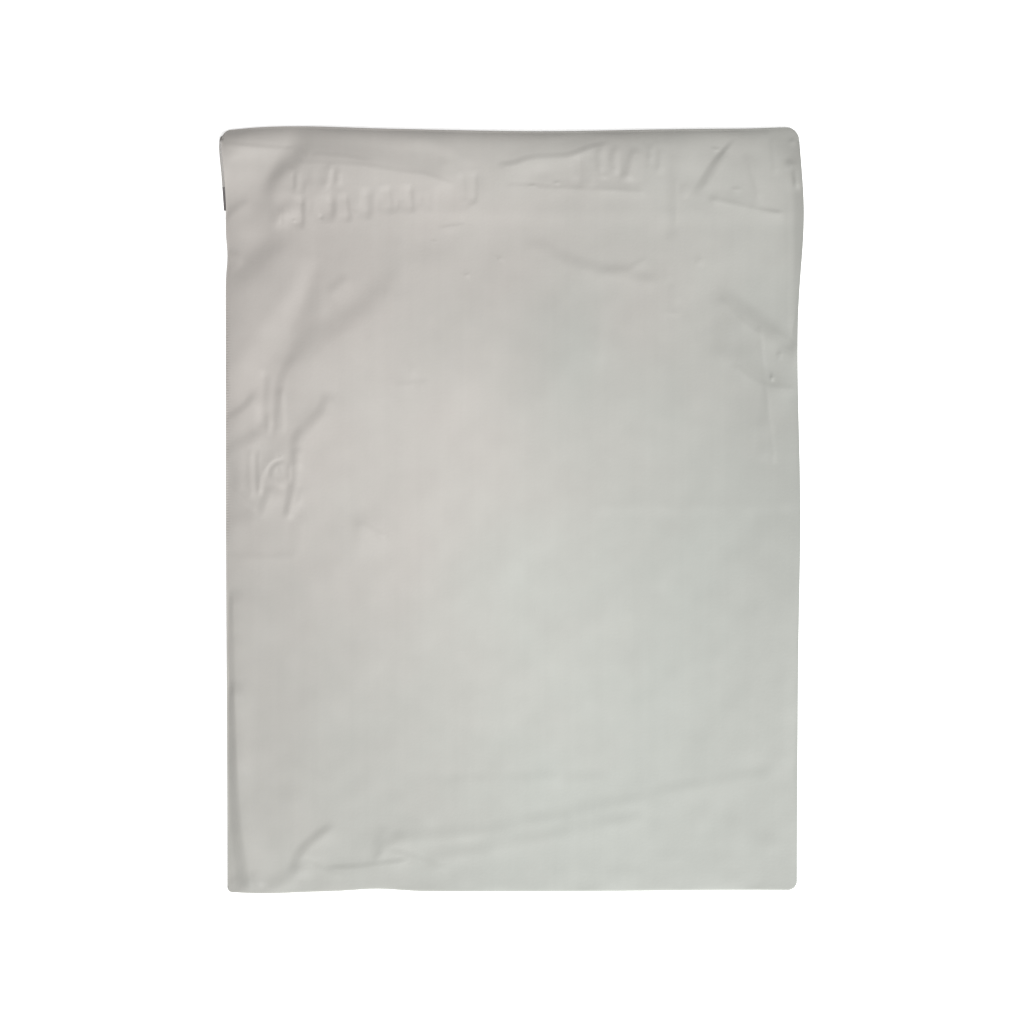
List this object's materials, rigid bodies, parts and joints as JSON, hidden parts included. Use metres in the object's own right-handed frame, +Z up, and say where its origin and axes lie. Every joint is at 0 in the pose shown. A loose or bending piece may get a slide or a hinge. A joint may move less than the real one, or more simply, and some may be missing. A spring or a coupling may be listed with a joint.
{
  "type": "poly mailer",
  "caption": "Sealed flat mailing bag of white polythene film, welded at the sides, folded at the bottom, with its closing flap glued to the underside.",
  "frame": {"origin": "on the table, under the middle of the bag", "axes": "+Y towards the top fold along the bag's length, +Z up out of the front panel"},
  "size_m": [0.3066, 0.4022, 0.0052],
  "materials": {
    "white_film": "satin"
  },
  "bodies": {
    "root": {"mailer_bag": "white_film"}
  },
  "joints": []
}
